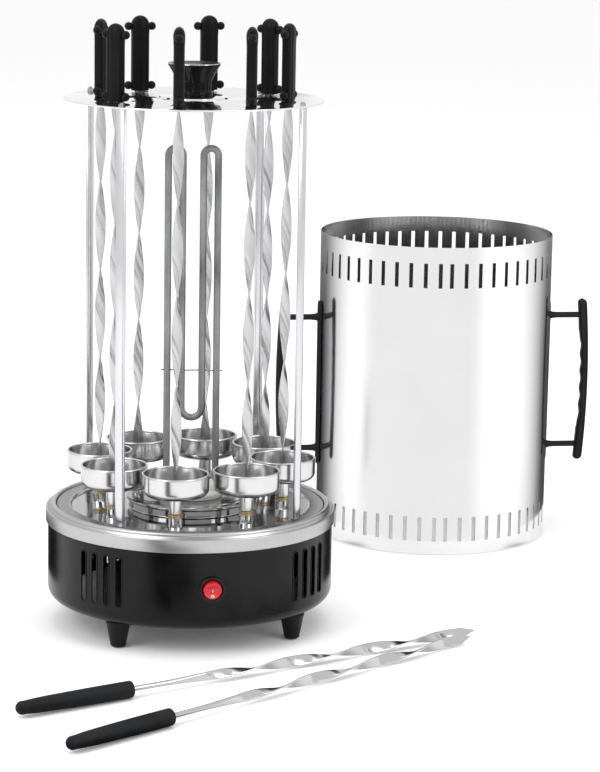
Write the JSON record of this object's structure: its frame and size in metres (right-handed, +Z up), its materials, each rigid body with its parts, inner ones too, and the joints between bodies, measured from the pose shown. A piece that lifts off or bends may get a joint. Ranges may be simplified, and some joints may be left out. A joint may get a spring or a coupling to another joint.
{
  "type": "rotisserie oven",
  "caption": "Upright electric kebab oven: a ring of self-turning skewers around a tubular heater, with a slotted lift-off cover and loose skewers.",
  "frame": {"origin": "on the table, under the middle of the whole set's bounding box", "axes": "+Z up; -Y towards the switch side, where the loose skewers lie; +X right; the cover stands towards +X +Y; the oven's own axis is vertical at x -0.14145, y -0.04345"},
  "size_m": [0.5736, 0.893, 0.5643],
  "materials": {
    "black_enamel": "satin black enamel",
    "satin_steel": "satin",
    "brushed_aluminium": "brushed",
    "black_rubber": "matte",
    "black_plastic": "satin moulded",
    "matte_black_grip": "matte",
    "gloss_black_plastic": "glossy moulded",
    "motor_grey": "plain",
    "ceramic_white": "glazed ceramic",
    "heater_grey": "dull grey heater sheath",
    "bright_steel": "polished",
    "blade_steel": "ground",
    "mirror_steel": "mirror",
    "gear_nylon": "plain",
    "rocker_red": "glossy translucent red"
  },
  "bodies": {
    "base": {"base_drum": "black_enamel", "bottom_plate": "satin_steel", "foot_1": "black_rubber", "foot_2": "black_rubber", "foot_3": "black_rubber", "foot_4": "black_rubber", "rim_ring": "brushed_aluminium", "deck_plate": "satin_steel", "switch_bezel": "black_plastic", "cord_gland": "black_plastic", "gear_motor": "motor_grey", "heater_base": "ceramic_white", "heater_element": "heater_grey", "post_1": "bright_steel", "post_2": "bright_steel", "post_3": "bright_steel", "post_4": "bright_steel", "top_disc": "bright_steel", "top_knob": "gloss_black_plastic"},
    "rocker": {"switch_rocker": "rocker_red"},
    "sun": {"sun_gear": "gear_nylon"},
    "spindle_1": {"drive_spindle_1": "bright_steel", "drip_cup_1": "bright_steel"},
    "spindle_2": {"drive_spindle_2": "bright_steel", "drip_cup_2": "bright_steel"},
    "spindle_3": {"drive_spindle_3": "bright_steel", "drip_cup_3": "bright_steel"},
    "spindle_4": {"drive_spindle_4": "bright_steel", "drip_cup_4": "bright_steel"},
    "spindle_5": {"drive_spindle_5": "bright_steel", "drip_cup_5": "bright_steel"},
    "spindle_6": {"drive_spindle_6": "bright_steel", "drip_cup_6": "bright_steel"},
    "spindle_7": {"drive_spindle_7": "bright_steel", "drip_cup_7": "bright_steel"},
    "spindle_8": {"drive_spindle_8": "bright_steel", "drip_cup_8": "bright_steel"},
    "skewer_1": {"skewer_blade_1": "blade_steel", "skewer_handle_1": "black_plastic"},
    "skewer_2": {"skewer_blade_2": "blade_steel", "skewer_handle_2": "black_plastic"},
    "skewer_3": {"skewer_blade_3": "blade_steel", "skewer_handle_3": "black_plastic"},
    "skewer_4": {"skewer_blade_4": "blade_steel", "skewer_handle_4": "black_plastic"},
    "skewer_5": {"skewer_blade_5": "blade_steel", "skewer_handle_5": "black_plastic"},
    "skewer_6": {"skewer_blade_6": "blade_steel", "skewer_handle_6": "black_plastic"},
    "skewer_7": {"skewer_blade_7": "blade_steel", "skewer_handle_7": "black_plastic"},
    "skewer_8": {"skewer_blade_8": "blade_steel", "skewer_handle_8": "black_plastic"},
    "cover": {"cover_shell": "mirror_steel", "cover_handle_left": "black_plastic", "cover_handle_right": "black_plastic"},
    "loose_skewer_1": {"loose_skewer_blade_1": "blade_steel", "loose_skewer_handle_1": "matte_black_grip"},
    "loose_skewer_2": {"loose_skewer_blade_2": "blade_steel", "loose_skewer_handle_2": "matte_black_grip"}
  },
  "joints": [
    {"name": "switch_rock", "type": "hinge", "parent": "base", "child": "rocker", "pos_m": [-0.121, -0.17709, 0.0645], "axis": [-0.9885, -0.1513, 0], "range_deg": [0, 20]},
    {"name": "sun_spin", "type": "hinge", "parent": "base", "child": "sun", "pos_m": [-0.14145, -0.04345, 0.078], "axis": [0, 0, 1], "continuous": true},
    {"name": "spindle_1_spin", "type": "hinge", "parent": "base", "child": "spindle_1", "pos_m": [-0.15506, -0.12938, 0.078], "axis": [0, 0, 1], "continuous": true},
    {"name": "spindle_2_spin", "type": "hinge", "parent": "base", "child": "spindle_2", "pos_m": [-0.09031, -0.11383, 0.078], "axis": [0, 0, 1], "continuous": true},
    {"name": "spindle_3_spin", "type": "hinge", "parent": "base", "child": "spindle_3", "pos_m": [-0.05552, -0.05706, 0.078], "axis": [0, 0, 1], "continuous": true},
    {"name": "spindle_4_spin", "type": "hinge", "parent": "base", "child": "spindle_4", "pos_m": [-0.07107, 0.00769, 0.078], "axis": [0, 0, 1], "continuous": true},
    {"name": "spindle_5_spin", "type": "hinge", "parent": "base", "child": "spindle_5", "pos_m": [-0.12784, 0.04248, 0.078], "axis": [0, 0, 1], "continuous": true},
    {"name": "spindle_6_spin", "type": "hinge", "parent": "base", "child": "spindle_6", "pos_m": [-0.19259, 0.02693, 0.078], "axis": [0, 0, 1], "continuous": true},
    {"name": "spindle_7_spin", "type": "hinge", "parent": "base", "child": "spindle_7", "pos_m": [-0.22738, -0.02984, 0.078], "axis": [0, 0, 1], "continuous": true},
    {"name": "spindle_8_spin", "type": "hinge", "parent": "base", "child": "spindle_8", "pos_m": [-0.21183, -0.09459, 0.078], "axis": [0, 0, 1], "continuous": true},
    {"name": "skewer_1_lift", "type": "slide", "parent": "spindle_1", "child": "skewer_1", "axis": [0, 0, 1], "range_m": [0, 0.38]},
    {"name": "skewer_2_lift", "type": "slide", "parent": "spindle_2", "child": "skewer_2", "axis": [0, 0, 1], "range_m": [0, 0.38]},
    {"name": "skewer_3_lift", "type": "slide", "parent": "spindle_3", "child": "skewer_3", "axis": [0, 0, 1], "range_m": [0, 0.38]},
    {"name": "skewer_4_lift", "type": "slide", "parent": "spindle_4", "child": "skewer_4", "axis": [0, 0, 1], "range_m": [0, 0.38]},
    {"name": "skewer_5_lift", "type": "slide", "parent": "spindle_5", "child": "skewer_5", "axis": [0, 0, 1], "range_m": [0, 0.38]},
    {"name": "skewer_6_lift", "type": "slide", "parent": "spindle_6", "child": "skewer_6", "axis": [0, 0, 1], "range_m": [0, 0.38]},
    {"name": "skewer_7_lift", "type": "slide", "parent": "spindle_7", "child": "skewer_7", "axis": [0, 0, 1], "range_m": [0, 0.38]},
    {"name": "skewer_8_lift", "type": "slide", "parent": "spindle_8", "child": "skewer_8", "axis": [0, 0, 1], "range_m": [0, 0.38]},
    {"name": "cover_lift", "type": "slide", "parent": "base", "child": "cover", "axis": [0, 0, 1], "range_m": [0, 0.58]},
    {"name": "loose_skewer_1_lift", "type": "slide", "parent": "base", "child": "loose_skewer_1", "axis": [0, 0, 1], "range_m": [0, 0.3]},
    {"name": "loose_skewer_2_lift", "type": "slide", "parent": "base", "child": "loose_skewer_2", "axis": [0, 0, 1], "range_m": [0, 0.3]}
  ],
  "couplings": [
    {"joint": "spindle_1_spin", "follows": "sun_spin", "ratio": -2.6667},
    {"joint": "spindle_2_spin", "follows": "sun_spin", "ratio": -2.6667},
    {"joint": "spindle_3_spin", "follows": "sun_spin", "ratio": -2.6667},
    {"joint": "spindle_4_spin", "follows": "sun_spin", "ratio": -2.6667},
    {"joint": "spindle_5_spin", "follows": "sun_spin", "ratio": -2.6667},
    {"joint": "spindle_6_spin", "follows": "sun_spin", "ratio": -2.6667},
    {"joint": "spindle_7_spin", "follows": "sun_spin", "ratio": -2.6667},
    {"joint": "spindle_8_spin", "follows": "sun_spin", "ratio": -2.6667}
  ]
}
